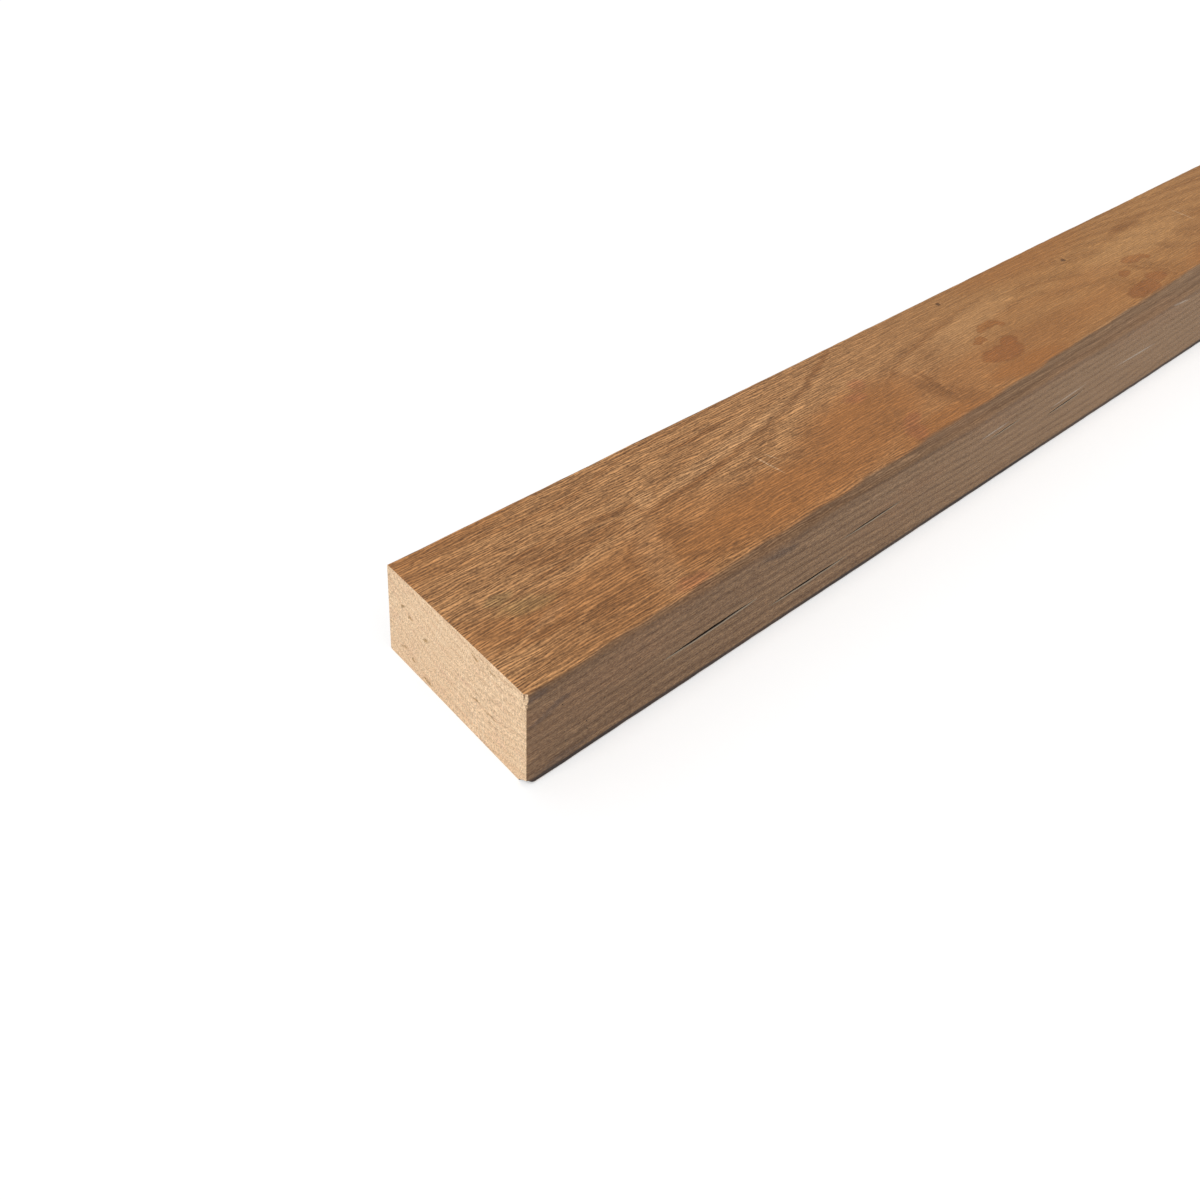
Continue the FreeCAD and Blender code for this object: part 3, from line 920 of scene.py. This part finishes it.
def hollowed(w, wood, oak):
    """The wood with its knots, painted shade inside the checks and pin holes, a painted highlight
    on the checks' lower lips, and painted shade on the broken foot corner.
    """
    w.knot = w.rough_place.blots(KNOTS, 0.45) * w.above * w.wide
    wood = wood.mixed(colour(oak.pore), w.knot * 0.8)
    depth = half_width(w.z) - abs(w.y)
    # Painted shade: the walls of a check or pin hole darken with depth from the mouth.
    inside = w.g.whole(colour(oak.mouth)).mixed(colour(oak.gap), depth.eased(0.05, 0.4))
    # Painted highlight on the lower lip of a check, where it faces out near the mouth.
    lip = (w.ny * w.y).eased(12, 20) * (1.0 - depth.eased(0.3, 0.6))
    inside = inside.mixed(colour(oak.torn), lip * 0.8)
    corner = (-w.x).eased(585, 590)
    wood = wood.mixed(inside, w.cut * (1.0 - corner))
    # Painted shade on the broken foot corner, below the height where the break faces down.
    return wood.mixed(colour(oak.chip_shade), w.cut * corner * (1.0 - w.z.eased(8, 14)))


def wood_relief(w):
    """Fine relief in millimetres: grooves along the grain, pores, knots and saw fuzz."""
    along = (0.07 * w.lines + 0.12 * w.ribs) * (1.0 - w.end)
    height = along - 0.08 * w.pores - 0.08 * w.rows * (1.0 - w.end)
    height = height + 0.10 * w.grit + (w.fuzz - 0.5) * (0.05 + 0.22 * w.end)
    return height - 0.25 * w.nests * w.end - 0.10 * w.knot + 0.05 * w.late


def oak_material(oak):
    """Sawn oak: rings around a pith, pores and fibres, and each face's own weathering."""
    material = bpy.data.materials.new("sawn_oak")
    material.use_nodes = True
    material.node_tree.nodes.clear()
    g = Field(material.node_tree)
    w = wood_frame(g)
    add_rings(w, oak)
    add_fibres(w, oak)
    wood = joined_tones(w, wide_tone(w, oak), narrow_tone(w, oak))
    wood = grooved(w, wood, oak).mixed(end_tone(w, oak), w.end)
    wood = hollowed(w, wood, oak)
    relief = {"Strength": 1.0, "Distance": MM, "Height": wood_relief(w)}
    bump = g.node("ShaderNodeBump", values=relief)
    rough = 0.60 + 0.14 * w.end - 0.08 * w.amber * w.wide
    rough = rough + 0.10 * (w.streak - 0.5) - 0.10 * w.water
    values = {"Base Color": wood, "Roughness": rough, "Normal": bump,
              "Specular IOR Level": 0.35}
    shader = g.node("ShaderNodeBsdfPrincipled", values=values)
    g.node("ShaderNodeOutputMaterial", values={"Surface": shader}, out=None)
    return material


def stage_material(stage):
    """Pale floor that shows white to the camera and keeps the board's shadow."""
    material = bpy.data.materials.new("pale_floor")
    material.use_nodes = True
    material.node_tree.nodes.clear()
    g = Field(material.node_tree)
    floor = g.node("ShaderNodeBsdfDiffuse", values={"Color": colour(stage.floor)})
    light = g.node("ShaderNodeEmission", values={"Color": WHITE, "Strength": stage.floor_glow})
    shown = g.node("ShaderNodeAddShader", values={0: floor, 1: light})
    path = g.node("ShaderNodeLightPath", out="Is Camera Ray")
    both = g.node("ShaderNodeMixShader", values={0: path, 1: floor, 2: shown})
    g.node("ShaderNodeOutputMaterial", values={"Surface": both}, out=None)
    return material


def stage_world(stage):
    """Even light from all round, white where the camera sees it."""
    world = bpy.data.worlds.new("studio")
    world.use_nodes = True
    world.node_tree.nodes.clear()
    g = Field(world.node_tree)
    light = g.node("ShaderNodeBackground", values={"Color": WHITE, "Strength": stage.sky})
    white = g.node("ShaderNodeBackground", values={"Color": WHITE, "Strength": 1.0})
    path = g.node("ShaderNodeLightPath", out="Is Camera Ray")
    both = g.node("ShaderNodeMixShader", values={0: path, 1: light, 2: white})
    g.node("ShaderNodeOutputWorld", values={"Surface": both}, out=None)
    return world


class OAK_OT_board(bpy.types.Operator):
    """Build the sawn board with its checks, pin holes, broken corners and grain"""

    bl_idname = "oak.board"
    bl_label = "Oak Board"

    def execute(self, context):
        board, oak = context.scene.oak_board, context.scene.oak_wood
        wood = oak_material(oak)
        blank = sawn_blank(board)
        blank.materials.append(wood)
        maker = bpy.data.objects.new("oak_board_maker", blank)
        context.scene.collection.objects.link(maker)
        markers = {"Checks": check_marks(), "Pin Holes": pin_marks(), "Corners": corner_marks()}
        cuts = maker.modifiers.new("cuts", "NODES")
        cuts.node_group = cuts_tree()
        values = dict(markers, Wood=wood)
        values["Check Wander"] = board.check_wander
        set_inputs(cuts, values)
        mesh = finished_mesh(maker, "oak_board_sawn")
        bake_places(mesh, board)
        piece = bpy.data.objects.new("oak_board_sawn", mesh)
        context.scene.collection.objects.link(piece)
        for spent in [maker, *markers.values()]:
            bpy.data.objects.remove(spent)
        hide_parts("oak_board")
        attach(piece, "root")
        return {"FINISHED"}


class OAK_OT_stage(bpy.types.Operator):
    """Lay the pale floor and set the lights and the camera"""

    bl_idname = "oak.stage"
    bl_label = "Stage"

    def execute(self, context):
        stage = context.scene.oak_stage
        reach = stage.floor_reach
        mesh = bpy.data.meshes.new("floor")
        corners = [(-reach, -reach, 0), (reach, -reach, 0), (reach, reach, 0), (-reach, reach, 0)]
        mesh.from_pydata(corners, [], [(0, 1, 2, 3)])
        mesh.materials.append(stage_material(stage))
        floor = bpy.data.objects.new("floor", mesh)
        context.scene.collection.objects.link(floor)
        context.scene.world = stage_world(stage)

        key = bpy.data.lights.new("key", "SUN")
        key.energy = stage.sun
        key.angle = stage.sun_angle
        lamp = bpy.data.objects.new("key", key)
        toward = Vector(stage.sun_from)
        lamp.rotation_euler = toward.to_track_quat("Z", "Y").to_euler()
        lamp.location = toward * 3
        context.scene.collection.objects.link(lamp)

        lens = bpy.data.cameras.new("camera")
        lens.lens = stage.lens
        lens.sensor_width = 36.0
        lens.clip_start = 0.01
        lens.shift_x, lens.shift_y = stage.shift
        camera = bpy.data.objects.new("camera", lens)
        turn = Matrix.Rotation(stage.heading - math.pi / 2, 3, "Z")
        tilt = Matrix.Rotation(math.pi / 2 - stage.pitch, 3, "X")
        camera.rotation_euler = (turn @ tilt).to_euler()
        camera.location = stage.eye
        context.scene.collection.objects.link(camera)
        context.scene.camera = camera
        context.scene.view_settings.view_transform = "Standard"
        return {"FINISHED"}


class OAK_PT_panel(bpy.types.Panel):
    """Lists the board and the stage with their settings"""

    bl_idname = "OAK_PT_panel"
    bl_label = "Oak Board"
    bl_space_type = "VIEW_3D"
    bl_region_type = "UI"
    bl_category = "Oak"

    def draw(self, context):
        scene = context.scene
        parts = (
            (OAK_OT_board, (scene.oak_board, scene.oak_wood)),
            (OAK_OT_stage, (scene.oak_stage,)),
        )
        for operator, groups in parts:
            box = self.layout.box()
            for group in groups:
                for name in group.bl_rna.properties.keys():
                    if name not in ("rna_type", "name"):
                        box.prop(group, name)
            box.operator(operator.bl_idname)


CLASSES = (BoardSettings, OakSettings, StageSettings, OAK_OT_board, OAK_OT_stage, OAK_PT_panel)


def register():
    for each in CLASSES:
        bpy.utils.register_class(each)
    bpy.types.Scene.oak_board = bpy.props.PointerProperty(type=BoardSettings)
    bpy.types.Scene.oak_wood = bpy.props.PointerProperty(type=OakSettings)
    bpy.types.Scene.oak_stage = bpy.props.PointerProperty(type=StageSettings)


def unregister():
    del bpy.types.Scene.oak_stage
    del bpy.types.Scene.oak_wood
    del bpy.types.Scene.oak_board
    for each in reversed(CLASSES):
        bpy.utils.unregister_class(each)


def main():
    register()
    bpy.ops.oak.board()
    bpy.ops.oak.stage()


if __name__ == "__main__":
    main()
